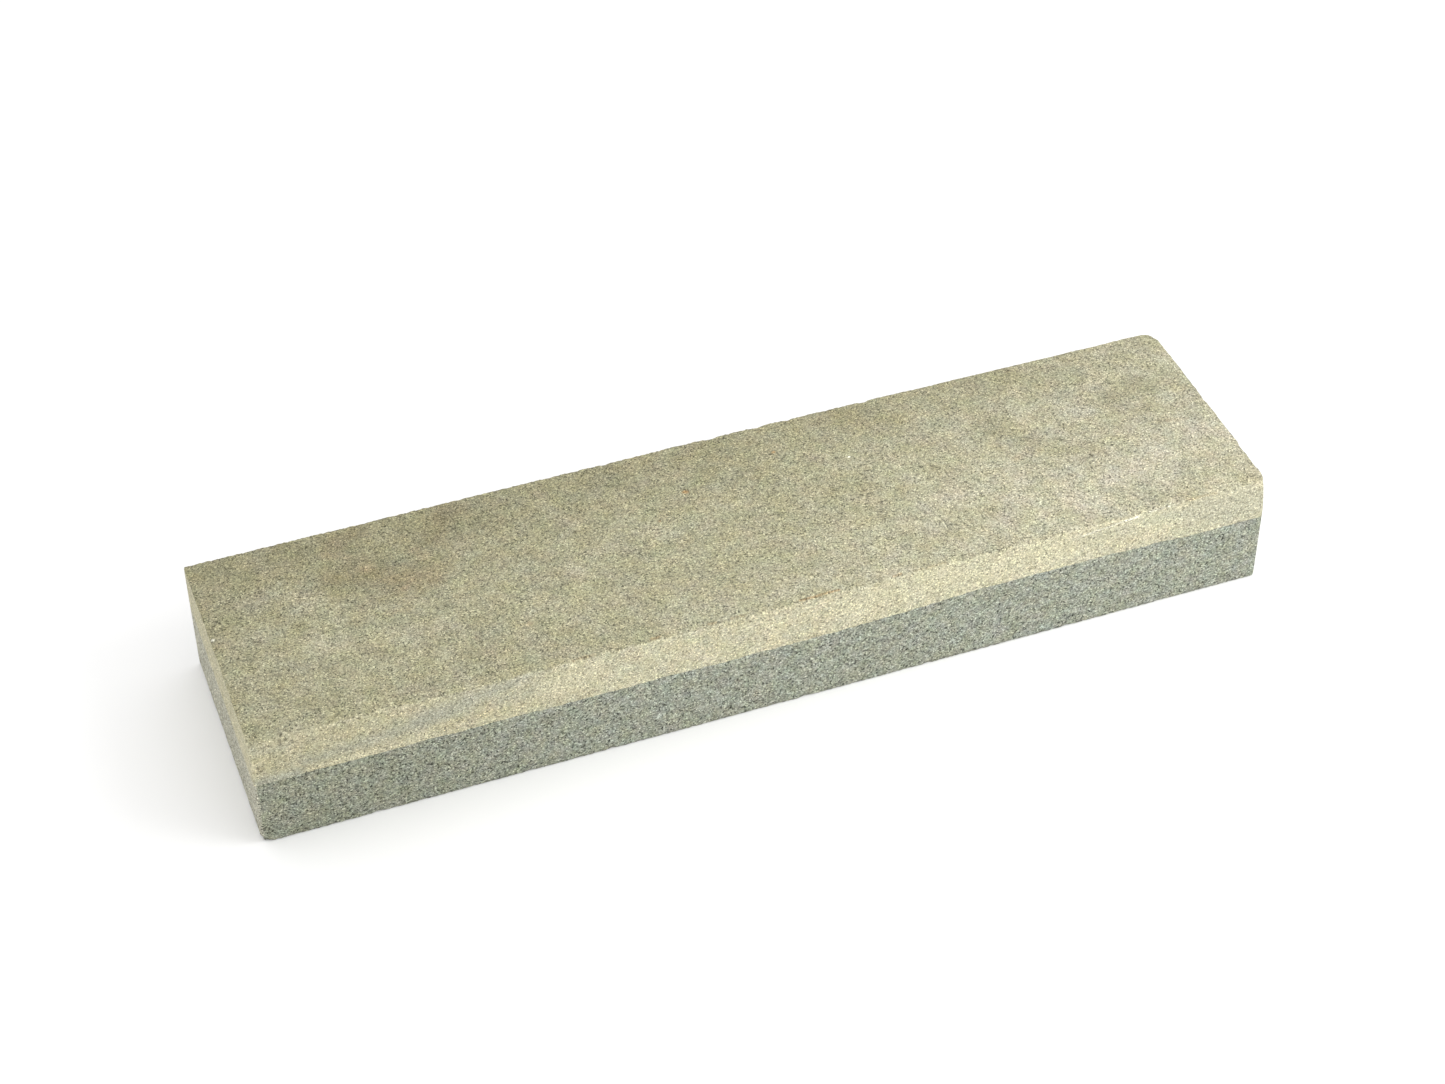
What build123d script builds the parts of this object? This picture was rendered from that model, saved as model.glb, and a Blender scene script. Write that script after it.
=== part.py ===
from build123d import *

import os

# Two-grit bench whetstone: a fine slab and a coarse slab, pressed in one mould and fired together.
# X runs along the stone, Y across it and Z up. The origin is the middle of the face that the stone
# lies on, with the coarse grit below and the fine grit above. All sizes are in millimetres.

# The brick, outside to outside
LENGTH = 200.0
WIDTH = 50.0
COARSE_THICKNESS = 15.0  # at the crisp end, from the resting face up to the joint
FINE_THICKNESS = 10.0  # at the crisp end, from the joint up to the honing face

# Upright corners: the end at -X is still crisp, and the end at +X is rounded by handling
CRISP_CORNER_RADIUS = 0.8
WORN_CORNER_RADIUS = 2.0

# Long and short edges of the two working faces
HONING_ARRIS_RADIUS = 0.6
RESTING_ARRIS_RADIUS = 0.5

# The joint follows the coarse powder as it lay in the mould: level from the crisp end to past the
# middle, then one low swell that runs out at the worn end
SWELL_HEIGHT = 1.3  # top of the swell above the level part
SWELL_FROM_WORN_END = 50.0
SWELL_RISE_LENGTH = 40.0  # from the end of the level part to the top of the swell
WORN_END_RISE = 0.5  # joint at the worn end above the level part

# How far the parting tool stands out past the brick
PARTING_OVERHANG = 5.0

THICKNESS = COARSE_THICKNESS + FINE_THICKNESS
CRISP_END = -LENGTH / 2
WORN_END = LENGTH / 2


def brick():
    """The whole stone as it leaves the mould, from the resting face up to the honing face."""
    plan = Rectangle(LENGTH, WIDTH)
    plan = fillet(plan.vertices().group_by(Axis.X)[0], CRISP_CORNER_RADIUS)
    plan = fillet(plan.vertices().group_by(Axis.X)[-1], WORN_CORNER_RADIUS)
    block = extrude(plan, THICKNESS)
    block = fillet(block.faces().sort_by(Axis.Z)[-1].edges(), HONING_ARRIS_RADIUS)
    return fillet(block.faces().sort_by(Axis.Z)[0].edges(), RESTING_ARRIS_RADIUS)


def joint_line():
    """The joint seen from the side: level, up to the top of the swell, and down to the worn end."""
    crest = WORN_END - SWELL_FROM_WORN_END
    level_start = (CRISP_END, COARSE_THICKNESS)
    level_end = (crest - SWELL_RISE_LENGTH, COARSE_THICKNESS)
    swell_top = (crest, COARSE_THICKNESS + SWELL_HEIGHT)
    worn_end = (WORN_END, COARSE_THICKNESS + WORN_END_RISE)
    along = [(1, 0), (1, 0)]
    level = Line(level_start, level_end)
    rise = Spline(level_end, swell_top, tangents=along)
    fall = Spline(swell_top, worn_end, tangents=along)
    return level + rise + fall


def under_joint():
    """The parting tool: everything under the joint, wider and longer than the brick."""
    line = joint_line()
    left, right = CRISP_END - PARTING_OVERHANG, WORN_END + PARTING_OVERHANG
    floor = -PARTING_OVERHANG
    left_height, right_height = COARSE_THICKNESS, COARSE_THICKNESS + WORN_END_RISE
    rest_of_outline = Polyline(
        (WORN_END, right_height),
        (right, right_height),
        (right, floor),
        (left, floor),
        (left, left_height),
        (CRISP_END, left_height),
    )
    side = make_face(line.edges() + rest_of_outline.edges())
    return extrude(Plane.XZ * side, WIDTH / 2 + PARTING_OVERHANG, both=True)


def main():
    os.makedirs("parts", exist_ok=True)
    stone = brick()
    coarse_side = under_joint()
    layers = {
        "coarse_grit_layer": stone & coarse_side,
        "fine_grit_layer": stone - coarse_side,
    }
    for name, layer in layers.items():
        export_step(layer, f"parts/{name}.step")
        print(name, round(layer.volume / 1000, 2), "cm3", layer.bounding_box().size)


main()
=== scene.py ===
# %% [markdown]
# # A two-grit bench whetstone
#
# A bench stone is a brick of hard grains held in fired clay. This one has two layers, because the
# mould was filled with a coarse grey powder and then with a fine cream one, and both were pressed
# and fired together. The stone lies on its coarse face. The fine face on top has been used: oil and
# steel dust have turned it khaki, and the edges that blades cross are worn back to clean cream.
#
# The measured model comes first, and nothing in it moves. Every size below is read from it.

# %% Load the measured model
import math

import bmesh
import bpy
from mathutils import Euler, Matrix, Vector, noise


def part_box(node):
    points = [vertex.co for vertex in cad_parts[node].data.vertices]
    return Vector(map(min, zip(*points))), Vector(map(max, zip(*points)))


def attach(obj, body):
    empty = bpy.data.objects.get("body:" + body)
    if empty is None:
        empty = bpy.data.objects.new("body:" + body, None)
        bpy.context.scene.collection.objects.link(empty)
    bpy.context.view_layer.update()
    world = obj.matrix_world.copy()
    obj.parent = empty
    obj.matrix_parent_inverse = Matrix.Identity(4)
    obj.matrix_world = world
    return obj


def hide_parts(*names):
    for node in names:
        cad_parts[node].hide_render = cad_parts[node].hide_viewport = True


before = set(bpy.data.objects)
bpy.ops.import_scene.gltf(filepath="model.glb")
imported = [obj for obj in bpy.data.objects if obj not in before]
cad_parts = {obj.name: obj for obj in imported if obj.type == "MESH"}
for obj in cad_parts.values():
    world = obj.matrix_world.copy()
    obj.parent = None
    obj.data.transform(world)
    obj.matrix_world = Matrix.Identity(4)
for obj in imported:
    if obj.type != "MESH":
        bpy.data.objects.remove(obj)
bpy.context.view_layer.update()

print("measured nodes:", sorted(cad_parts))

# %% [markdown]
# ## The stone's faces
#
# Blender works in metres, but a stone is easier to think about in millimetres, so lengths are
# written in millimetres here and divided by a thousand when a vertex is placed. `LOW` and `HIGH`
# are the two far corners of the whole stone. `COARSE` and `FINE` are the names of its layers.

# %% Read the stone's faces from the model
PER_METRE = 1000.0
COARSE = "coarse_grit_layer"
FINE = "fine_grit_layer"

coarse_low, coarse_high = (corner * PER_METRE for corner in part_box(COARSE))
fine_low, fine_high = (corner * PER_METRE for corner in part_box(FINE))
LOW = Vector(map(min, coarse_low, fine_low))
HIGH = Vector(map(max, coarse_high, fine_high))
MIDDLE = (LOW + HIGH) / 2
HALF = (HIGH - LOW) / 2
print("stone, mm:", [round(2 * side, 2) for side in HALF])

# %% [markdown]
# ## The camera
#
# A long lens from about six tenths of a metre keeps the brick's edges almost parallel, as a
# catalogue picture does. The camera is placed from what it looks at: a point near the middle of the
# stone, the distance from it, and three angles. Turning a camera that faces straight down by
# 90 degrees less its elevation tips it up, and the turn about Z then swings it round the stone.

# %% Set the camera
LENS = 75.2
AIM = MIDDLE + Vector((0.95, 8.58, 0.0))
CAMERA_DISTANCE = 584.5
CAMERA_AZIMUTH = math.radians(-20.13)
CAMERA_ELEVATION = math.radians(41.97)
CAMERA_ROLL = math.radians(-0.53)

camera_data = bpy.data.cameras.new("camera")
camera_data.lens = LENS
camera = bpy.data.objects.new("camera", camera_data)
swing = Euler((math.pi / 2 - CAMERA_ELEVATION, 0.0, CAMERA_AZIMUTH)).to_matrix()
roll = Euler((0.0, 0.0, CAMERA_ROLL)).to_matrix()
turn = swing @ roll
camera.matrix_world = turn.to_4x4()
camera.location = (AIM + turn @ Vector((0.0, 0.0, CAMERA_DISTANCE))) / PER_METRE
bpy.context.scene.collection.objects.link(camera)
bpy.context.scene.camera = camera
print("camera at, mm:", [round(value * PER_METRE, 1) for value in camera.location])

# %% [markdown]
# ## Floor and light
#
# The floor is a plain white sheet. Most of the light is an even white sky, strong enough to wash
# the sheet out to pure white and to leave only a faint shadow close to the stone. One soft lamp hangs
# near the right-hand end. Because it is near, its light falls off along the stone, and the left end
# is darker. The lamp is aimed with `to_track_quat`, which turns its -Z axis, the way it
# shines, towards the stone, and `visible_camera` keeps the lamp itself out of the picture.

# %% Add the floor and the lamp
FLOOR_SIZE = 6000.0
FLOOR_WHITE = 0.93
SKY_STRENGTH = 1.12
LAMP_PLACE = Vector((110.0, -115.0, 175.0))
LAMP_SIZE = 160.0
LAMP_WATTS = 0.22

floor_shape = bmesh.new()
bmesh.ops.create_grid(floor_shape, x_segments=1, y_segments=1, size=FLOOR_SIZE / 2 / PER_METRE)
bmesh.ops.translate(floor_shape, verts=floor_shape.verts, vec=(0.0, 0.0, LOW.z / PER_METRE))
floor_mesh = bpy.data.meshes.new("floor")
floor_shape.to_mesh(floor_mesh)
floor_shape.free()
floor = bpy.data.objects.new("floor", floor_mesh)
bpy.context.scene.collection.objects.link(floor)

floor_paper = bpy.data.materials.new("white_paper")
floor_paper.use_nodes = True
paper_shader = floor_paper.node_tree.nodes["Principled BSDF"].inputs
paper_shader["Base Color"].default_value = (FLOOR_WHITE, FLOOR_WHITE, FLOOR_WHITE, 1.0)
paper_shader["Roughness"].default_value = 1.0
floor_mesh.materials.append(floor_paper)

sky = bpy.data.worlds.new("even_sky")
sky.use_nodes = True
background = sky.node_tree.nodes["Background"].inputs
background["Color"].default_value = (1.0, 1.0, 1.0, 1.0)
background["Strength"].default_value = SKY_STRENGTH
bpy.context.scene.world = sky

lamp_data = bpy.data.lights.new("broad_lamp", "AREA")
lamp_data.shape = "DISK"
lamp_data.size = LAMP_SIZE / PER_METRE
lamp_data.energy = LAMP_WATTS
lamp = bpy.data.objects.new("broad_lamp", lamp_data)
lamp.location = LAMP_PLACE / PER_METRE
lamp.visible_camera = False
lamp.rotation_euler = (MIDDLE - LAMP_PLACE).to_track_quat("-Z", "Y").to_euler()
bpy.context.scene.collection.objects.link(lamp)
bpy.context.scene.view_settings.view_transform = "Standard"
print("lamp to stone, mm:", round((MIDDLE - LAMP_PLACE).length))

# %% [markdown]
# ## A block of small faces
#
# Each layer starts as a cube, because a cube is closed and stays closed however it is cut. Three
# calls of `subdivide_edges`, one for each direction, turn it into a block of small four-sided
# faces, like a sugar cube scored on every side. Worn edges and missing grains need faces about as
# big as the grains, but only near the edges, so the rows are then crowded towards them. A bevel
# would round every edge alike, and this stone is worn differently along each one.

# %% Cut a cube into small faces
LENGTH_CUTS = 529
WIDTH_CUTS = 57
LENGTH_CROWDING = 0.25
WIDTH_CROWDING = 0.72
WALL_CROWDING = 1.6


def cut_cube(height_cuts):
    """A closed unit cube cut into rows along, across and up."""
    block = bmesh.new()
    bmesh.ops.create_cube(block, size=1.0)
    for axis, cuts in enumerate((LENGTH_CUTS, WIDTH_CUTS, height_cuts)):
        along = [
            edge
            for edge in block.edges
            if abs(edge.verts[0].co[axis] - edge.verts[1].co[axis]) > 0.9
        ]
        bmesh.ops.subdivide_edges(block, edges=along, cuts=cuts, use_grid_fill=True)
    return block


def crowd(share, amount):
    """Moves an even share from 0 to 1 towards the nearer end."""
    return share + amount * (0.5 - 0.5 * math.cos(math.pi * share) - share)


first_row = crowd(1 / (WIDTH_CUTS + 1), WIDTH_CROWDING) * 2 * HALF.y
print("row nearest the long edge, mm:", round(first_row, 2))

# %% [markdown]
# ## The joint between the grits
#
# The line where cream meets grey isn't ruled. The measured model holds its long, low swell, so the
# height is read from the coarse layer's front wall there. Small waves are added on top, a few
# millimetres long where powder was raked unevenly, and shorter ones only a few grains long. Both
# layers ask the same function, so they meet without a gap.

# %% Find the joint's height
RAKE_WAVE = 7.0
RAKE_DEPTH = 0.28
GRAIN_WAVE = 0.9
GRAIN_DEPTH = 0.2


def joint_profile():
    """Points along the top of the coarse layer's front wall, from end to end."""
    heights = {}
    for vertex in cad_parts[COARSE].data.vertices:
        x, y, z = vertex.co * PER_METRE
        if y < LOW.y + 0.01 and z > MIDDLE.z:
            heights[round(x, 3)] = z
    return sorted(heights.items())


profile = joint_profile()


def joint_height(x, y):
    """Height of the joint over a point of the floor plan."""
    after = next((k for k, (px, pz) in enumerate(profile) if px > x), len(profile) - 1)
    (x0, z0), (x1, z1) = profile[max(after - 1, 0)], profile[max(after, 1)]
    share = min(max((x - x0) / (x1 - x0), 0.0), 1.0)
    rake = noise.noise(Vector((x, y, 0.0)) / RAKE_WAVE) * RAKE_DEPTH
    grains = noise.noise(Vector((x, y, 50.0)) / GRAIN_WAVE) * GRAIN_DEPTH
    return z0 + (z1 - z0) * share + rake + grains


print("joint points read:", len(profile))

# %% [markdown]
# ## Rounded and worn edges
#
# Wear takes a different amount off every edge. The near edge of the used face has been rubbed most,
# and more so at the left end, where it is a flat nearly two millimetres wide. The far edge is sharp
# at the left and rounds off towards the right. The upright corners are crisp at the left. At the
# right they are rounded at the top, where hands and blades reach them, and crisp at the bottom.
#
# `squeeze` is the rounding itself. It takes a point inside a square corner and pulls it in so that
# the square's sides land on a quarter circle. It is used twice: in the floor plan for the upright
# corners, and in a slice through the edge for the long and short edges.

# %% Round the edges
CRISP_CORNER = 0.3
WORN_CORNER = 1.8
HANDLED_HEIGHT = 17.0
PLAIN_EDGE = 0.2
RESTING_EDGE = 0.35
FAR_EDGE_WEAR = 1.3
NEAR_EDGE_WEAR = 0.45
HEEL_WEAR = 1.1
HEEL_START = -58.0
HEEL_FULL = -84.0
EDGE_SLOPE = 0.8
WAVER_LENGTH = 9.0
WAVER = 0.5
EDGE_ZONE_START = 4.0
EDGE_ZONE_FULL = 2.0


def smooth_step(low, high, value):
    """0 before low, 1 after high and a smooth rise between, with low above high to fall."""
    share = min(max((value - low) / (high - low), 0.0), 1.0)
    return share * share * (3 - 2 * share)


def squeeze(across, up):
    """Pulls a point of the unit square onto the unit quarter circle's rings."""
    reach = math.hypot(across, up)
    if across <= 0 or up <= 0 or reach == 0:
        return across, up
    pull = max(across, up) / reach
    return across * pull, up * pull


def edge_width(x, y, on_top):
    """How far the rounding reaches in from the outline, at a point near an edge."""
    if not on_top:
        return RESTING_EDGE
    zone = HALF.y - EDGE_ZONE_START, HALF.y - EDGE_ZONE_FULL
    near = smooth_step(*zone, MIDDLE.y - y)
    far = smooth_step(*zone, y - MIDDLE.y)
    waver = 1 + WAVER * noise.noise(Vector((x / WAVER_LENGTH, 0.0, 3.0)))
    heel = HEEL_WEAR * smooth_step(HEEL_START, HEEL_FULL, x)
    far_wear = FAR_EDGE_WEAR * smooth_step(MIDDLE.x, HIGH.x, x)
    return PLAIN_EDGE + near * (NEAR_EDGE_WEAR * waver + heel) + far * far_wear * waver


def round_corner(x, y, z):
    """Rounds the floor plan. Gives new x and y, the distance in from the outline and the way out."""
    side_x = 1.0 if x > MIDDLE.x else -1.0
    side_y = 1.0 if y > MIDDLE.y else -1.0
    radius = CRISP_CORNER
    if side_x > 0:
        radius += (WORN_CORNER - CRISP_CORNER) * smooth_step(HANDLED_HEIGHT, HIGH.z, z)
    core_x, core_y = HALF.x - radius, HALF.y - radius
    along = (abs(x - MIDDLE.x) - core_x) / radius
    across = (abs(y - MIDDLE.y) - core_y) / radius
    along, across = squeeze(along, across)
    if along > 0 and across > 0:
        reach = math.hypot(along, across)
        out = Vector((side_x * along, side_y * across, 0.0)) / reach
    elif along > across:
        reach, out = along, Vector((side_x, 0.0, 0.0))
    else:
        reach, out = across, Vector((0.0, side_y, 0.0))
    new_x = MIDDLE.x + side_x * (core_x + along * radius)
    new_y = MIDDLE.y + side_y * (core_y + across * radius)
    return new_x, new_y, radius * (1 - reach), out


def round_edges(x, y, z):
    """A point of the brick with every edge rounded, the way out of the stone there, the distance
    to the nearest edge, and whether the point lies on the outside at all."""
    x, y, inset, out = round_corner(x, y, z)
    upward = Vector((0.0, 0.0, 1.0 if z > MIDDLE.z else -1.0))
    face = HIGH.z if z > MIDDLE.z else LOW.z
    depth = abs(face - z)
    wide = edge_width(x, y, z > MIDDLE.z)
    tall = wide * EDGE_SLOPE
    across, up = squeeze(1 - inset / wide, 1 - depth / tall)
    place = Vector((x, y, face)) - out * (wide * (1 - across) - inset)
    place -= upward * (tall * (1 - up))
    if across > 0 and up > 0:
        out = (out * across + upward * up).normalized()
    elif depth < inset:
        out = upward
    return place, out, inset + depth, min(inset, depth) < 1e-6


def check_slice(y_in, depth):
    """Prints where a point of the near edge goes, as a test of the rounding."""
    place, out, *_ = round_edges(MIDDLE.x, LOW.y + y_in, HIGH.z - depth)
    print("in", y_in, "down", depth, "->", [round(value, 2) for value in place])
    print("  way out", [round(value, 2) for value in out])


check_slice(0.0, 0.0)
check_slice(0.0, 5.0)

# %% [markdown]
# ## Missing grains
#
# The stone is brittle, so its edges aren't smooth lines: single grains are gone everywhere along
# them, and here and there a bigger crumb. Smooth noise about half a millimetre wide gives the
# single grains. Noise three millimetres wide, kept only where it is high, gives the crumbs. A few
# corners have been knocked, and lose a little more within a short reach of the corner. Away from the
# edges grains and crumbs fade to the slight unevenness of a pressed face. Material is only ever
# taken away, so the stone stays inside its measured box.

# %% Take grains away
GRAIN = 0.55
GRAIN_LOSS = 0.36
CRUMB = 3.2
CRUMB_LOSS = 0.42
CRUMB_RARE = (0.25, 0.6)
FACE_WAVE = 11.0
FACE_LOSS = 0.05
EDGE_REACH = 1.5
KNOCKS = [
    (Vector((LOW.x, LOW.y, LOW.z)), 2.2, 0.75),
    (Vector((HIGH.x, LOW.y, HIGH.z)), 2.6, 0.35),
    (Vector((HIGH.x, HIGH.y, HIGH.z)), 2.8, 0.4),
    (Vector((HIGH.x, HIGH.y, LOW.z)), 2.8, 0.8),
]


def loss(place, distance):
    """How much has crumbled away at a point of the outside, in millimetres."""
    edge = max(0.0, 1 - distance / EDGE_REACH) ** 2
    grain = 0.5 + 0.5 * noise.noise(place / GRAIN)
    crumb = smooth_step(*CRUMB_RARE, noise.noise(place / CRUMB + Vector((31.0, 7.0, 3.0))))
    wave = 0.5 + 0.5 * noise.noise(place / FACE_WAVE)
    knock = sum(
        depth * max(0.0, 1 - (place - corner).length / reach) for corner, reach, depth in KNOCKS
    )
    at_edge = edge * (GRAIN_LOSS * grain**2 + CRUMB_LOSS * crumb * (0.4 + 0.6 * grain))
    return at_edge + FACE_LOSS * (0.5 * wave + 0.5 * grain) + knock


# %% [markdown]
# ## Build the two layers
#
# Now the pieces come together. For each vertex of the scored cube, its share along, across and up
# gives a place in the layer, the place is rounded, and what has crumbled away is taken off along
# the way out of the stone. The rim of the joint is marked sharp, so that the walls and the hidden
# joint face are shaded apart.

# %% Build a layer
FINE_WALL_CUTS = 19
COARSE_WALL_CUTS = 25


def layer_point(shares, lower, upper, dense_top):
    """A point of a layer from its three shares, before any rounding."""
    along, across, up = shares
    x = LOW.x + 2 * HALF.x * crowd(along, LENGTH_CROWDING)
    y = LOW.y + 2 * HALF.y * crowd(across, WIDTH_CROWDING)
    up = 1 - (1 - up) ** WALL_CROWDING if dense_top else up**WALL_CROWDING
    bottom, top = lower(x, y), upper(x, y)
    return x, y, bottom + (top - bottom) * up


def build_layer(name, height_cuts, lower, upper, dense_top):
    """One layer of the stone as a closed mesh, with its hidden face on the joint."""
    block = cut_cube(height_cuts)
    joint_side = -0.5 if dense_top else 0.5
    for edge in block.edges:
        on_joint = all(abs(vertex.co.z - joint_side) < 1e-4 for vertex in edge.verts)
        turned = edge.link_faces[0].normal.dot(edge.link_faces[1].normal) < 0.5
        edge.smooth = not (on_joint and turned)
    for face in block.faces:
        face.smooth = True
    for vertex in block.verts:
        shares = [min(max(value + 0.5, 0.0), 1.0) for value in vertex.co]
        place, out, distance, outside = round_edges(*layer_point(shares, lower, upper, dense_top))
        if outside:
            place -= out * loss(place, distance)
        vertex.co = place / PER_METRE
    mesh = bpy.data.meshes.new(name)
    block.to_mesh(mesh)
    block.free()
    piece = bpy.data.objects.new(name, mesh)
    bpy.context.scene.collection.objects.link(piece)
    triangles = sum(len(face.vertices) - 2 for face in mesh.polygons)
    size = [round(side * PER_METRE, 2) for side in piece.dimensions]
    print(name, "triangles:", triangles, "size, mm:", size)
    return piece


fine_layer = build_layer(
    "fine_grit", FINE_WALL_CUTS, joint_height, lambda x, y: HIGH.z, dense_top=True
)
coarse_layer = build_layer(
    "coarse_grit", COARSE_WALL_CUTS, lambda x, y: LOW.z, joint_height, dense_top=False
)

# %% [markdown]
# ## Small helpers for node trees
#
# A material in Blender is a tree of nodes, and building one by hand means the same three moves over
# and over: add a node, set its values, and join sockets. `give` sets a socket to a plain value, or joins
# it to another node's output if that is what it gets. `add` makes a node and gives it its inputs.
# `maths`, `vectors` and `mix` are short names for the nodes used most.
#
# `remap` eases a value from one range to another. Easing already stops at both ends, so it needs no
# clamp. A clamp on each one would also hold its value in the renderer's small memory until all the
# marks are drawn, and a material with this many marks then turns black.

# %% Helpers for node trees
NODES_IN_ROW = 12
NODE_SPACE = (200, -240)


def give(tree, socket, value):
    """Sets a socket to a value, or joins it to an output socket."""
    if isinstance(value, bpy.types.NodeSocket):
        tree.links.new(value, socket)
    else:
        socket.default_value = value


def add(tree, kind, inputs=None, **settings):
    """Adds a node, in rows. Each input is a value to set or an output socket to join."""
    made = tree.nodes.new(kind)
    row, column = divmod(len(tree.nodes), NODES_IN_ROW)
    made.location = (NODE_SPACE[0] * column, NODE_SPACE[1] * row)
    for name, value in settings.items():
        setattr(made, name, value)
    for name, value in (inputs or {}).items():
        give(tree, made.inputs[name], value)
    return made


def maths(tree, operation, *values):
    """The result of a Math node."""
    return add(tree, "ShaderNodeMath", dict(enumerate(values)), operation=operation).outputs[0]


def vectors(tree, operation, *values):
    """A Vector Math node. Its result is the first output, or the one named Value for a number."""
    made = add(tree, "ShaderNodeVectorMath", operation=operation)
    for socket, value in zip(made.inputs, values):
        give(tree, socket, value)
    return made


def scale(tree, vector, factor):
    """A vector made longer or shorter."""
    made = vectors(tree, "SCALE", vector)
    give(tree, made.inputs["Scale"], factor)
    return made.outputs[0]


def mix(tree, share, below, above, blend="MIX"):
    """The colour between below and above, or below with above blended over it."""
    made = add(tree, "ShaderNodeMix", data_type="RGBA", blend_type=blend)
    for name, value in (("Factor_Float", share), ("A_Color", below), ("B_Color", above)):
        give(tree, next(socket for socket in made.inputs if socket.identifier == name), value)
    return next(socket for socket in made.outputs if socket.identifier == "Result_Color")


def axes(tree, where):
    """The X, Y and Z of a vector, as separate outputs."""
    return add(tree, "ShaderNodeSeparateXYZ", {"Vector": where}).outputs


def remap(tree, value, low, high, new_low=0.0, new_high=1.0):
    """A value eased from the range low to high to the new range."""
    inputs = {"Value": value, "From Min": low, "From Max": high, "To Min": new_low, "To Max": new_high}
    made = add(tree, "ShaderNodeMapRange", inputs, interpolation_type="SMOOTHSTEP", clamp=False)
    return made.outputs["Result"]


def new_group(name, inputs, outputs):
    """A shader node group with named sockets, and its input and output nodes."""
    group = bpy.data.node_groups.new(name, "ShaderNodeTree")
    kinds = {"number": "NodeSocketFloat", "vector": "NodeSocketVector", "colour": "NodeSocketColor"}
    for direction, sockets in (("INPUT", inputs), ("OUTPUT", outputs)):
        for socket_name, kind in sockets.items():
            group.interface.new_socket(socket_name, in_out=direction, socket_type=kinds[kind])
    return group, group.nodes.new("NodeGroupInput").outputs, group.nodes.new("NodeGroupOutput")


def use(tree, group, inputs):
    """Places a node group in a tree and returns its outputs."""
    return add(tree, "ShaderNodeGroup", inputs, node_tree=group).outputs


# %% [markdown]
# ## The grit
#
# Look at an abrasive stone through a lens and it is a heap of broken crystals, some nearly black,
# most dull and a few bright where a flat face catches the light, with small pores between them. A
# Voronoi texture makes just such a heap: it fills space with cells, and its colour output gives
# each cell its own three random numbers. The first sets how dark the grain is, the second its tint
# and the third how far it stands out. The distance from a cell's centre darkens the pores. A second,
# finer heap dusts over the first. `AVERAGE_LEVEL` is about the mean brightness of all that. It is taken
# off before the contrast is put on and 1 is added after, so that more contrast doesn't darken the stone.
#
# It is a group, because both layers use it, each with its own grain size and contrast.

# %% Node group: grit
AVERAGE_LEVEL = 0.88
FINES_PER_GRAIN = 2.3
DUST_SPREAD = 0.5
PORE_FROM, PORE_TO = 0.35, 0.85
PORE_RIM, PORE_DARK = 1.06, 0.72
GLINT_FROM, GLINT_TO = 0.94, 0.97
DARKEST, BRIGHTEST = 0.22, 1.75
LEVELS_BETWEEN = ((0.12, 0.62), (0.45, 0.95), (0.85, 1.2))
STAND_OUT = 0.65
DUST_BUMPS = 0.2
ROUNDNESS = 0.35

grit, given, result = new_group(
    "grit",
    {"Where": "vector", "Grain Size": "number", "Contrast": "number"},
    {"Shade": "colour", "Height": "number", "Glint": "number"},
)
scaled = scale(grit, given["Where"], maths(grit, "DIVIDE", 1.0, given["Grain Size"]))
grains = add(grit, "ShaderNodeTexVoronoi", {"Vector": scaled, "Scale": 1.0})
chance = add(grit, "ShaderNodeSeparateColor", {"Color": grains.outputs["Color"]}).outputs

darkness = add(grit, "ShaderNodeValToRGB", {"Fac": chance["Red"]})
steps = darkness.color_ramp.elements
steps[0].color = (DARKEST, DARKEST, DARKEST, 1.0)
steps[1].color = (BRIGHTEST, BRIGHTEST, BRIGHTEST, 1.0)
for position, level in LEVELS_BETWEEN:
    steps.new(position).color = (level, level, level, 1.0)

fines = add(grit, "ShaderNodeTexVoronoi", {"Vector": scaled, "Scale": FINES_PER_GRAIN})
overlay = add(grit, "ShaderNodeSeparateColor", {"Color": fines.outputs["Color"]}).outputs
dust_level = maths(grit, "MULTIPLY_ADD", overlay["Red"], DUST_SPREAD, 1 - DUST_SPREAD / 2)
pore_level = remap(grit, grains.outputs["Distance"], PORE_FROM, PORE_TO, PORE_RIM, PORE_DARK)
level = maths(grit, "MULTIPLY", maths(grit, "MULTIPLY", dust_level, pore_level), darkness.outputs[0])
level = maths(grit, "SUBTRACT", level, AVERAGE_LEVEL)
level = maths(grit, "MULTIPLY_ADD", level, given["Contrast"], 1.0)

warm, cool = (1.015, 1.0, 0.97, 1.0), (0.99, 1.0, 1.02, 1.0)
tint = mix(grit, chance["Green"], warm, cool)
grey = add(grit, "ShaderNodeCombineColor", {"Red": level, "Green": level, "Blue": level}).outputs[0]
grit.links.new(mix(grit, 1.0, grey, tint, "MULTIPLY"), result.inputs["Shade"])

dome = maths(grit, "SUBTRACT", 1.0, grains.outputs["Distance"])
stand = maths(grit, "MULTIPLY", chance["Blue"], STAND_OUT)
dusted = maths(grit, "MULTIPLY_ADD", overlay["Green"], DUST_BUMPS, stand)
grit.links.new(maths(grit, "MULTIPLY_ADD", dome, ROUNDNESS, dusted), result.inputs["Height"])
grit.links.new(remap(grit, chance["Blue"], GLINT_FROM, GLINT_TO), result.inputs["Glint"])
print("grit nodes:", len(grit.nodes))

# %% [markdown]
# ## A mark
#
# Stains, rust, scratches and streaks are all soft patches at some place on the stone. One group
# draws any of them: a capsule, which is everything within some distance of a straight line between
# two points. A short line gives a round spot and a long one a streak. The edge is as soft as asked.
# The materials bend the coordinates with noise before most marks, so that those don't end up with a
# ruled outline. Only the flecks, the pits and the khaki along the crisp end are drawn on straight
# coordinates.
#
# A line that starts and ends at one point would divide by zero, so a millionth is added.

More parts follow.
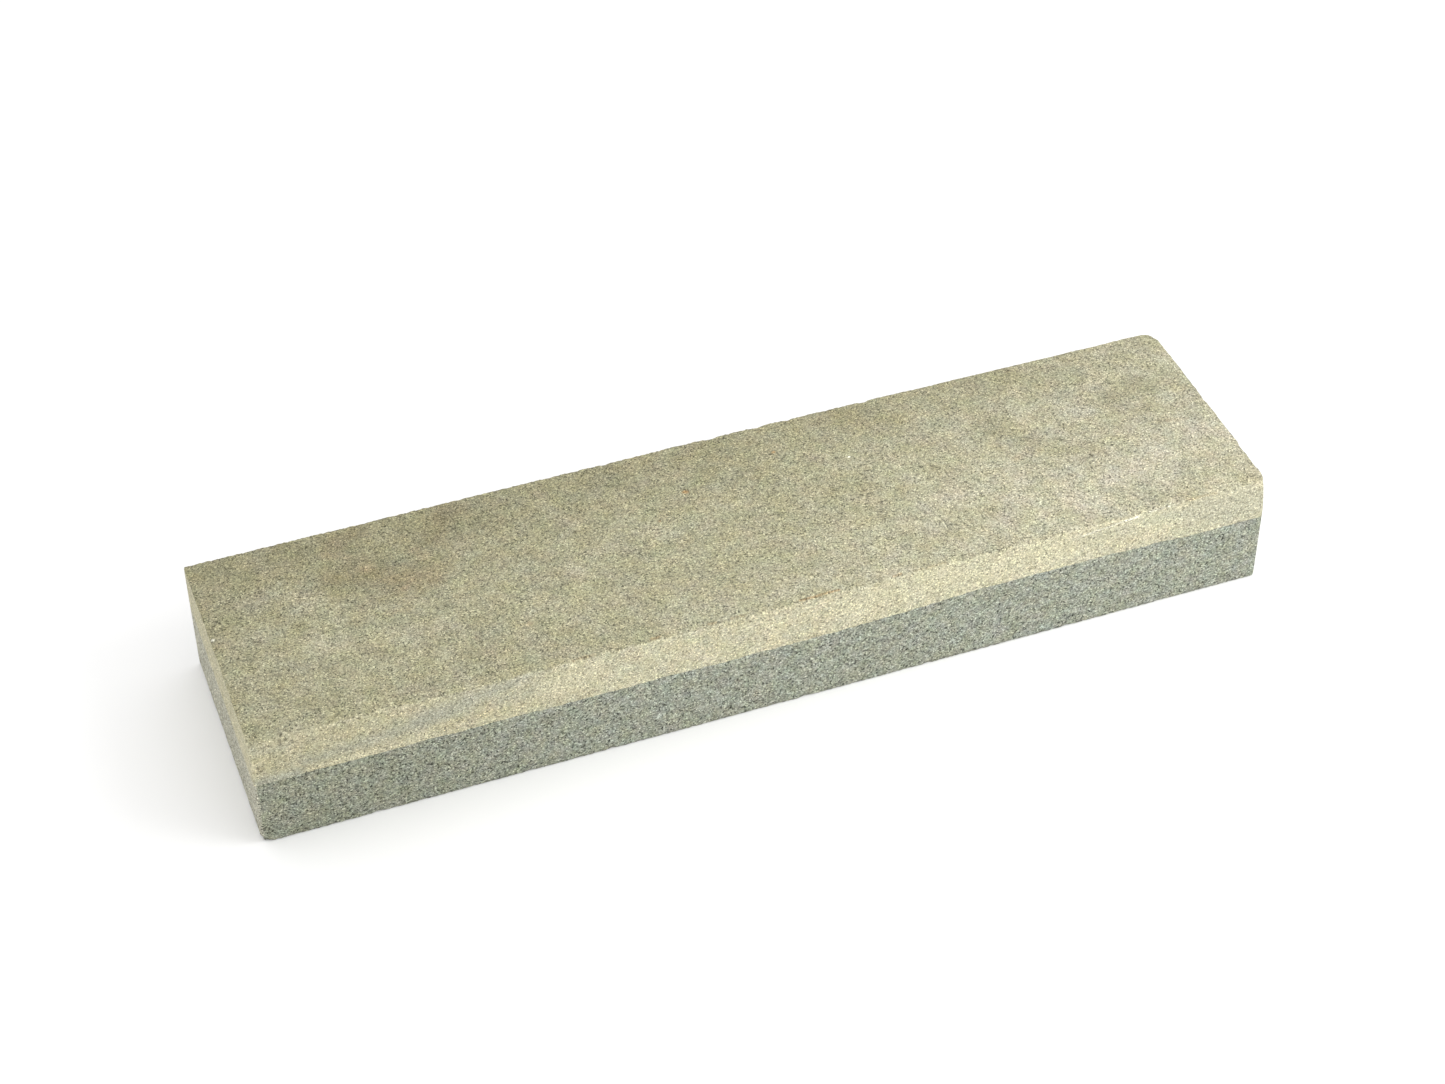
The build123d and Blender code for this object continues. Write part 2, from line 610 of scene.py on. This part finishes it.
# %% Node group: mark
mark, given, result = new_group(
    "mark",
    {
        "Where": "vector",
        "Start": "vector",
        "End": "vector",
        "Half Width": "number",
        "Softness": "number",
    },
    {"Mask": "number"},
)
line = vectors(mark, "SUBTRACT", given["End"], given["Start"]).outputs[0]
away = vectors(mark, "SUBTRACT", given["Where"], given["Start"]).outputs[0]
along = vectors(mark, "DOT_PRODUCT", away, line).outputs["Value"]
length_squared = maths(mark, "ADD", vectors(mark, "DOT_PRODUCT", line, line).outputs["Value"], 1e-6)
share = add(mark, "ShaderNodeClamp", {"Value": maths(mark, "DIVIDE", along, length_squared)})
nearest = scale(mark, line, share.outputs["Result"])
gap = vectors(mark, "SUBTRACT", away, nearest).outputs[0]
distance = vectors(mark, "LENGTH", gap).outputs["Value"]
beyond = maths(mark, "SUBTRACT", distance, given["Half Width"])
faded = maths(mark, "DIVIDE", beyond, given["Softness"])
mark.links.new(remap(mark, faded, -0.5, 0.5, 1.0, 0.0), result.inputs["Mask"])
print("mark nodes:", len(mark.nodes))

# %% [markdown]
# ## Mottle
#
# Oil soaks in unevenly, and powder isn't mixed perfectly, so a stone is cloudy as well as grainy.
# Noise gives three independent random numbers at every point. One brightens and darkens, and the
# other two shift red and blue a little, which makes faint warm, green and cool patches. Blue swings
# widest, so that the stone is yellower in some places than in others.

# %% Node group: mottle
BLUE_SWING = 1.6

mottle, given, result = new_group(
    "mottle",
    {"Where": "vector", "Cloud Size": "number", "Strength": "number", "Tint": "number"},
    {"Shade": "colour"},
)
sized = scale(mottle, given["Where"], maths(mottle, "DIVIDE", 1.0, given["Cloud Size"]))
cloud_inputs = {"Vector": sized, "Scale": 1.0, "Detail": 4.0, "Roughness": 0.65}
clouds = add(mottle, "ShaderNodeTexNoise", cloud_inputs).outputs["Color"]
centred = vectors(mottle, "SUBTRACT", clouds, (0.5, 0.5, 0.5)).outputs[0]
swings = add(mottle, "ShaderNodeSeparateXYZ", {"Vector": centred}).outputs
level = maths(mottle, "MULTIPLY_ADD", swings["Y"], given["Strength"], 1.0)
red_shift = maths(mottle, "MULTIPLY_ADD", swings["X"], given["Tint"], 1.0)
blue_tint = maths(mottle, "MULTIPLY", given["Tint"], BLUE_SWING)
blue_shift = maths(mottle, "MULTIPLY_ADD", swings["Z"], blue_tint, 1.0)
red = maths(mottle, "MULTIPLY", level, red_shift)
blue = maths(mottle, "MULTIPLY", level, blue_shift)
shade = add(mottle, "ShaderNodeCombineColor", {"Red": red, "Green": level, "Blue": blue})
mottle.links.new(shade.outputs[0], result.inputs["Shade"])
print("mottle nodes:", len(mottle.nodes))

# %% [markdown]
# ## Painting marks over a colour
#
# `paint_over` takes a list of marks, finds how strongly any of them covers a point, and mixes a
# colour over what is there. Marks are placed in millimetres from the stone's own faces: `on_front`
# measures along the near wall and down from the used face, and `on_top` measures from the middle
# of the used face.

# %% Helpers for marks
def on_front(x, down):
    """A point of the near wall, down from the used face."""
    return (MIDDLE.x + x, LOW.y, HIGH.z - down)


def on_top(x, y):
    """A point of the used face, from its middle."""
    return (MIDDLE.x + x, MIDDLE.y + y, HIGH.z)


def cover(tree, where, marks):
    """How strongly any mark covers a point. A mark is start, end, half width, softness, strength."""
    covered = None
    for start, end, half_width, softness, strength in marks:
        shape = {"Start": start, "End": end, "Half Width": half_width, "Softness": softness}
        drawn = use(tree, mark, {"Where": where, **shape})
        mask = maths(tree, "MULTIPLY", drawn["Mask"], strength)
        covered = mask if covered is None else maths(tree, "MAXIMUM", covered, mask)
    return covered


def paint_over(tree, colour, where, paint, marks):
    """Mixes paint over a colour wherever the marks reach."""
    return mix(tree, cover(tree, where, marks), colour, paint)


def ragged(tree, where, size, amount):
    """Coordinates bent by noise, so that a mark drawn with them has an uneven edge."""
    inputs = {"Vector": where, "Scale": 1.0 / size, "Detail": 3.0}
    bend = add(tree, "ShaderNodeTexNoise", inputs).outputs["Color"]
    centred = vectors(tree, "SUBTRACT", bend, (0.5, 0.5, 0.5)).outputs[0]
    return vectors(tree, "ADD", where, scale(tree, centred, amount)).outputs[0]


# %% [markdown]
# ## What both layers share
#
# Both layers' walls are darkened towards the left end. That is painted shade, which adds to the fall-off
# of the lamp's light along the stone. The left end itself is made paler, which is painted light. Both
# surfaces are dull, with single grains that glint, and both are rough to the touch by less than a tenth
# of a millimetre. That is too fine for the mesh, so a Bump node makes it.

# %% Helpers for the stone's surface
# The next two numbers set painted shade, which darkens the walls towards the left end.
LEFT_SHADE_LENGTH = 75.0
LEFT_SHADE_TINT = (0.87, 0.86, 0.81, 1.0)
# The next two set how far in from the left end its painted light reaches.
END_LIGHT_FULL = 0.1
END_LIGHT_GONE = 0.7
STONE_GLOSS = 0.25
DULL_ROUGHNESS = 0.92
GLINT_ROUGHNESS = 0.4
RELIEF = 0.07


def shaded_to_left(tree, where, colour):
    """Darkens a colour towards the left end: painted shade that adds to the fall-off of the lamp's
    light.
    """
    unshaded_share = remap(tree, axes(tree, where)["X"], LOW.x, LOW.x + LEFT_SHADE_LENGTH)
    left_shaded = mix(tree, 1.0, colour, LEFT_SHADE_TINT, "MULTIPLY")
    return mix(tree, unshaded_share, left_shaded, colour)


def lit_left_end(tree, where, colour, overlay, strength):
    """A colour with a paler one mixed over it on the left end, out to just round its edges: painted
    light.
    """
    left = axes(tree, where)["X"]
    mask = remap(tree, left, LOW.x + END_LIGHT_FULL, LOW.x + END_LIGHT_GONE, strength, 0.0)
    return mix(tree, mask, colour, overlay)


def mottled(tree, where, colour, size, strength, tint):
    """A colour with cloudy patches of about one size."""
    clouds = {"Where": where, "Cloud Size": size, "Strength": strength, "Tint": tint}
    return mix(tree, 1.0, colour, use(tree, mottle, clouds)["Shade"], "MULTIPLY")


def start_material(name):
    """A new material, its tree, its shader and the object's coordinates in millimetres."""
    material = bpy.data.materials.new(name)
    material.use_nodes = True
    tree = material.node_tree
    shader = tree.nodes["Principled BSDF"]
    where = scale(tree, add(tree, "ShaderNodeTexCoord").outputs["Object"], PER_METRE)
    return material, tree, shader, where


def finish_surface(tree, shader, colour, grit_out):
    """Joins colour, roughness and relief to the shader, the same way for both layers."""
    tree.links.new(mix(tree, 1.0, colour, grit_out["Shade"], "MULTIPLY"), shader.inputs["Base Color"])
    shader.inputs["Specular IOR Level"].default_value = STONE_GLOSS
    rough = remap(tree, grit_out["Glint"], 0.0, 1.0, DULL_ROUGHNESS, GLINT_ROUGHNESS)
    tree.links.new(rough, shader.inputs["Roughness"])
    bump = add(tree, "ShaderNodeBump", {"Strength": 1.0, "Distance": RELIEF / PER_METRE})
    tree.links.new(grit_out["Height"], bump.inputs["Height"])
    tree.links.new(bump.outputs["Normal"], shader.inputs["Normal"])


# %% [markdown]
# ## The fine layer
#
# Its powder fired to a warm cream, and the side walls still show it. A streak of the grey coarse
# powder got into the mould on the left, so the near wall has a smoky band that climbs from the
# joint to the edge. The used face is khaki with oil and steel dust, and it stops where the worn
# edge begins, so the mask for it is simply height: full a tenth of a millimetre under the top, gone
# about half a millimetre down. The left end's edge is crisp, and there one long mark carries the
# khaki right to it.
#
# The used face is painted from the broad to the small: pale patches, darker bands along the far edge,
# the stains in them, the rusty touches of a wet blade, and last the flecks and pits.

# %% Material: fine grit
CREAM = (0.476, 0.453, 0.318, 1.0)
BRIGHT_CREAM = (0.540, 0.508, 0.355, 1.0)
DULL_CREAM = (0.415, 0.402, 0.302, 1.0)
SMOKE = (0.338, 0.343, 0.276, 1.0)
KHAKI = (0.333, 0.318, 0.210, 1.0)
DARK_KHAKI = (0.240, 0.223, 0.132, 1.0)
STAIN_BROWN = (0.178, 0.150, 0.076, 1.0)
PALE_KHAKI = (0.425, 0.404, 0.303, 1.0)
BLOOM = (0.400, 0.382, 0.276, 1.0)
PEACH = (0.370, 0.300, 0.190, 1.0)
RUST = (0.30, 0.165, 0.055, 1.0)
WHITE_FLECK = (0.85, 0.83, 0.70, 1.0)
PIT = (0.05, 0.045, 0.03, 1.0)
FINE_GRAIN = 0.25
FINE_CONTRAST = 0.92
USED_CONTRAST = 1.08
USED_FULL = 0.1
USED_GONE = 0.55
BROAD_BEND = (6.0, 4.0)
CLOSE_BEND = (1.2, 0.8)
WALL_CLOUDS = (4.0, 0.36, 0.24)
FACE_CLOUDS = (5.0, 0.5, 0.26)
# How strongly the left end is made paler, as painted light.
FINE_END_LIGHT = 0.55

# %% [markdown]
# ## Where the marks of the fine layer are
#
# Each list holds the marks of one colour: start, end, half width, softness and strength, in
# millimetres except for the strength. The last place is how much of the colour is laid on.

# %% Marks of the fine layer
CRISP_EDGE = [(on_top(-100, -23.5), on_top(-100, 25), 0.45, 0.35, 1.0)]
SMOKE_STREAK = [
    (on_front(-90, 7.2), on_front(-80, 6.5), 1.0, 3.0, 0.6),
    (on_front(-80, 6.5), on_front(-70, 5.2), 1.3, 3.4, 0.65),
    (on_front(-70, 5.0), on_front(-64, 4.2), 1.8, 3.6, 0.75),
    (on_front(-64, 4.2), on_front(-59, 2.6), 1.9, 3.6, 0.65),
    (on_front(-59, 2.6), on_front(-50, 1.2), 1.4, 3.4, 0.65),
    (on_front(-50, 0.8), on_front(-45, 0.5), 0.6, 2.0, 0.5),
    (on_front(-54, 4.6), on_front(-47, 4.8), 1.2, 3.4, 0.5),
    (on_front(-102, 9.8), on_front(-92, 9.6), 1.0, 3.4, 0.95),
    (on_front(-99, 2.0), on_front(-94, 2.2), 1.0, 2.4, 0.35),
    (on_front(8, 3.5), on_front(14, 3.0), 0.8, 2.5, 0.2),
    (on_front(77, 2.6), on_front(83, 3.2), 0.8, 2.5, 0.35),
]
DULL_WALL = [
    (on_front(62, 3.5), on_front(68, 3.5), 1.5, 4.0, 0.5),
    (on_front(86, 4.0), on_front(102, 5.0), 4.0, 9.0, 0.8),
]
BRIGHT_WALL = [
    (on_front(-88, 9.2), on_front(-64, 9.3), 0.5, 1.4, 0.8),
    (on_front(-45, 5.0), on_front(-36, 4.0), 2.5, 4.0, 0.6),
    (on_top(-98, -24.4), on_top(-62, -24.6), 0.4, 1.0, 0.7),
    (on_front(14, 5.0), on_front(56, 4.5), 3.0, 7.0, 0.5),
]
# Broad bands that darken the used face along its far edge and its left end.
FAR_DARK_BANDS = [
    (on_top(-102, 25), on_top(-45, 25), 14.0, 28.0, 0.62),
    (on_top(-45, 26), on_top(8, 27), 12.0, 24.0, 0.55),
    (on_top(8, 28), on_top(64, 28), 9.0, 20.0, 0.5),
    (on_top(-98, 26), on_top(-40, 27), 1.0, 7.0, 0.85),
    (on_top(-102, -20), on_top(-102, 22), 2.5, 9.0, 0.65),
]
BROWN_STAINS = [
    (on_top(-73, 19), on_top(-68, 22), 1.5, 7.0, 0.5),
    (on_top(-56, 15), on_top(-50, 21), 1.5, 7.0, 0.6),
    (on_top(-51, 24.5), on_top(-50, 24.5), 1.0, 2.0, 0.5),
    (on_top(-72, 11), on_top(-60, 7), 4.0, 9.0, 0.5),
    (on_top(31, 21), on_top(38, 17), 2.5, 9.0, 0.3),
]
DARK_STAINS = [
    (on_top(57, 10), on_top(62, 1), 2.2, 7.0, 0.4),
    (on_top(66, -2), on_top(73, -5), 2.0, 5.0, 0.4),
    (on_top(83, 7), on_top(91, 9), 2.8, 5.0, 0.42),
    (on_top(82.2, 5), on_top(83, 9), 0.7, 2.0, 0.45),
    (on_top(84, 3), on_top(90, 3.5), 1.2, 4.0, 0.35),
]
PALE_PATCHES = [
    (on_top(64, -14), on_top(110, -6), 24.0, 64.0, 0.6),
    (on_top(60, -18), on_top(95, -8), 9.0, 26.0, 0.95),
    (on_top(60, -19), on_top(82, -22), 3.0, 9.0, 0.5),
    (on_top(70, -13), on_top(73, -16), 1.6, 3.5, 0.8),
    (on_top(72, 8), on_top(80, 5), 2.4, 7.0, 0.75),
    (on_top(84, -1), on_top(89, -3), 1.5, 5.0, 0.85),
    (on_top(67, -11), on_top(70, -17), 2.0, 5.0, 0.95),
    (on_top(36.5, 0.5), on_top(38, -2), 1.5, 5.0, 0.55),
    (on_top(-87, 11), on_top(-80, 7), 2.4, 7.0, 0.5),
]
BLOOM_PATCHES = [
    (on_top(-16, -22), on_top(60, -20), 4.0, 16.0, 0.6),
    (on_top(38, -6), on_top(46, -9), 2.5, 8.0, 0.8),
    (on_top(12, -12), on_top(36, -14), 3.0, 10.0, 0.6),
    (on_top(-4, -15), on_top(2, -16), 1.5, 6.0, 0.5),
    (on_top(-17, 2.5), on_top(-15, 2.5), 1.4, 4.5, 0.75),
    (on_top(-32, 0), on_top(-30, -2), 1.5, 5.5, 0.6),
    (on_top(-42, -8), on_top(-36, -9.5), 1.5, 5.5, 0.6),
    (on_top(-45.2, 6.3), on_top(-44.8, 6.3), 0.6, 1.8, 0.5),
    (on_top(-84, -3.5), on_top(-78, -5.5), 1.8, 5.5, 0.65),
    (on_top(-70, -6), on_top(-66, -9), 1.6, 5.5, 0.65),
    (on_top(-58, -6), on_top(-56, -10), 1.5, 5.5, 0.5),
]
PEACH_SPOTS = [
    (on_top(-66, 7.5), on_top(-57, 5), 1.5, 7.0, 0.35),
    (on_top(-68.5, 12), on_top(-67.5, 12), 0.8, 1.8, 0.5),
    (on_top(-57.5, 12), on_top(-56.5, 12), 1.0, 2.0, 0.6),
    (on_top(-75, 18.5), on_top(-71, 16.5), 0.8, 2.4, 0.4),
    (on_top(-61, 6.5), on_top(-63, 4.5), 0.7, 1.6, 0.6),
    (on_top(-68, -0.8), on_top(-64, -1), 0.6, 1.8, 0.45),
    (on_top(-59, 14), on_top(-58, 14), 0.6, 1.8, 0.4),
    (on_top(57.5, -2.5), on_top(58.5, -2.0), 0.8, 2.0, 0.5),
    (on_top(63, -1.5), on_top(63.2, -1.5), 0.6, 1.6, 0.4),
    (on_top(-54.6, -12.8), on_top(-54.4, -12.8), 0.5, 1.2, 0.4),
    (on_top(-44.6, -12.8), on_top(-44.4, -12.8), 0.5, 1.2, 0.45),
    (on_top(90, -2.2), on_top(94, -2.8), 0.4, 1.2, 0.35),
    (on_front(-86, 1.9), on_front(-85.6, 2.2), 0.5, 1.0, 0.4),
]
RUST_MARKS = [
    (on_top(4, -24.5), on_top(11.5, -24.4), 0.15, 0.7, 0.8),
    (on_top(-40, -24.7), on_top(-36, -24.6), 0.2, 0.9, 0.4),
    (on_top(-25, -24.4), on_top(-23.5, -24.4), 0.2, 0.8, 0.5),
    (on_top(-14, -24.5), on_top(-12.5, -24.5), 0.15, 0.7, 0.4),
    (on_top(-9.5, -24.5), on_top(-7, -24.5), 0.15, 0.8, 0.3),
    (on_top(22.5, -24.6), on_top(24, -24.5), 0.15, 0.7, 0.55),
    (on_top(27, -24.6), on_top(33, -24.6), 0.15, 0.8, 0.3),
    (on_top(49, -24.8), on_top(55, -24.8), 0.15, 0.8, 0.3),
    (on_top(83, -24.9), on_top(89, -25), 0.2, 1.0, 0.35),
    (on_top(-5.5, 11.5), on_top(-5.3, 11.5), 0.45, 0.9, 0.8),
    (on_top(14.4, 16.5), on_top(14.6, 16.5), 0.25, 0.6, 0.8),
    (on_top(-12.9, 5.3), on_top(-12.8, 5.3), 0.2, 0.5, 0.7),
]
WHITE_FLECKS = [
    (on_front(61, 2.1), on_front(70, 1.1), 0.12, 0.55, 0.6),
    (on_front(70, 1.1), on_front(72.6, 0.9), 0.2, 0.5, 0.85),
    (on_front(75, 0.4), on_front(82, 0.0), 0.12, 0.55, 0.65),
    (on_front(-94.8, 0.2), on_front(-94.4, 0.2), 0.3, 0.5, 1.0),
    (on_top(-99.7, 3.7), on_top(-99.4, 3.7), 0.25, 0.5, 1.0),
    (on_top(27.6, 9.9), on_top(27.7, 9.9), 0.2, 0.3, 1.0),
    (on_top(23.7, 12.5), on_top(24.6, 10.8), 0.03, 0.25, 0.5),
]
PITS = [
    (on_top(75.3, -3.9), on_top(75.4, -3.9), 0.22, 0.35, 0.85),
    (on_top(76.6, -5.0), on_top(76.8, -5.0), 0.22, 0.35, 0.85),
    (on_top(71.5, -6.1), on_top(71.7, -6.6), 0.28, 0.4, 0.85),
    (on_top(53.7, -0.1), on_top(53.9, -0.1), 0.15, 0.4, 0.6),
    (on_top(-85, 20.7), on_top(-84.8, 20.6), 0.15, 0.4, 0.6),
    (on_top(-78.4, 10.6), on_top(-78.0, 11.0), 0.2, 0.5, 0.5),
    (on_front(-6.1, 1.6), on_front(-6.0, 1.6), 0.2, 0.4, 0.85),
    (on_front(11.7, 1.6), on_front(11.8, 1.6), 0.2, 0.4, 0.85),
    (on_front(80.8, 5.2), on_front(80.9, 5.3), 0.2, 0.4, 0.85),
]


# %% Paint the fine layer
def fine_grit_material():
    """Cream walls, a smoky streak, and a khaki used face with its stains."""
    material, tree, shader, where = start_material("fine_grit")
    broad = ragged(tree, where, *BROAD_BEND)
    close = ragged(tree, where, *CLOSE_BEND)

    walls = mottled(tree, where, CREAM, *WALL_CLOUDS)
    # Painted shade darkens the walls towards the left end.
    walls = shaded_to_left(tree, where, walls)
    walls = paint_over(tree, walls, close, DULL_CREAM, DULL_WALL)
    walls = paint_over(tree, walls, close, SMOKE, SMOKE_STREAK)
    walls = paint_over(tree, walls, close, BRIGHT_CREAM, BRIGHT_WALL)
    # Painted light makes the left end paler.
    walls = lit_left_end(tree, close, walls, BRIGHT_CREAM, FINE_END_LIGHT)

    face = paint_over(tree, KHAKI, broad, PALE_KHAKI, PALE_PATCHES)
    face = paint_over(tree, face, broad, BLOOM, BLOOM_PATCHES)
    face = paint_over(tree, face, broad, DARK_KHAKI, FAR_DARK_BANDS)
    face = paint_over(tree, face, broad, STAIN_BROWN, BROWN_STAINS)
    face = paint_over(tree, face, broad, DARK_KHAKI, DARK_STAINS)
    face = paint_over(tree, face, close, PEACH, PEACH_SPOTS)
    face = mottled(tree, where, face, *FACE_CLOUDS)

    used = remap(tree, axes(tree, close)["Z"], HIGH.z - USED_GONE, HIGH.z - USED_FULL)
    used = maths(tree, "MAXIMUM", used, cover(tree, where, CRISP_EDGE))
    colour = mix(tree, used, walls, face)
    colour = paint_over(tree, colour, close, RUST, RUST_MARKS)
    colour = paint_over(tree, colour, where, WHITE_FLECK, WHITE_FLECKS)
    colour = paint_over(tree, colour, where, PIT, PITS)

    contrast = maths(tree, "MULTIPLY_ADD", used, USED_CONTRAST - FINE_CONTRAST, FINE_CONTRAST)
    grains_here = {"Where": where, "Grain Size": FINE_GRAIN, "Contrast": contrast}
    finish_surface(tree, shader, colour, use(tree, grit, grains_here))
    return material


# %% [markdown]
# ## The coarse layer
#
# The lower layer is the grey of silicon carbide, a touch green, with slightly bigger grains and more
# contrast between them, because the dark crystals lie among pale bond. Its walls are plain apart from
# the painted shade towards the left end and the painted light on the end itself. Its resting face is
# the coarse working face, so it gets a darker, dirtier tone.

# %% Material: coarse grit
GREY = (0.270, 0.284, 0.227, 1.0)
OILY_GREY = (0.19, 0.195, 0.15, 1.0)
# The next colour is painted light on the left end.
END_LIGHT_GREY = (0.415, 0.402, 0.326, 1.0)
COARSE_GRAIN = 0.28
COARSE_CONTRAST = 1.32
COARSE_BEND = (1.5, 1.0)
COARSE_WALL_CLOUDS = (3.0, 0.15, 0.28)
RESTING_CLOUDS = (12.0, 0.7, 0.1)
# How strongly the left end is made paler, as painted light.
COARSE_END_LIGHT = 0.8
RESTING_FULL = 0.1
RESTING_GONE = 0.45


def coarse_grit_material():
    """Grey walls with strong grain, and a darker resting face."""
    material, tree, shader, where = start_material("coarse_grit")
    close = ragged(tree, where, *COARSE_BEND)
    # Painted shade darkens the walls towards the left end.
    walls = shaded_to_left(tree, where, mottled(tree, where, GREY, *COARSE_WALL_CLOUDS))
    # Painted light makes the left end paler.
    walls = lit_left_end(tree, close, walls, END_LIGHT_GREY, COARSE_END_LIGHT)
    face = mottled(tree, where, OILY_GREY, *RESTING_CLOUDS)
    height = axes(tree, close)["Z"]
    used = remap(tree, height, LOW.z + RESTING_FULL, LOW.z + RESTING_GONE, 1.0, 0.0)
    colour = mix(tree, used, walls, face)
    grains_here = {"Where": where, "Grain Size": COARSE_GRAIN, "Contrast": COARSE_CONTRAST}
    finish_surface(tree, shader, colour, use(tree, grit, grains_here))
    return material


fine_layer.data.materials.append(fine_grit_material())
coarse_layer.data.materials.append(coarse_grit_material())
for piece in (fine_layer, coarse_layer):
    print(piece.name, "material nodes:", len(piece.data.materials[0].node_tree.nodes))

# %% [markdown]
# ## Hand the pieces over
#
# Each layer rides on the one body that the stone has and takes the place of its measured node, which
# is hidden.

# %% Finish
for piece, node in ((fine_layer, FINE), (coarse_layer, COARSE)):
    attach(piece, "root")
    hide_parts(node)
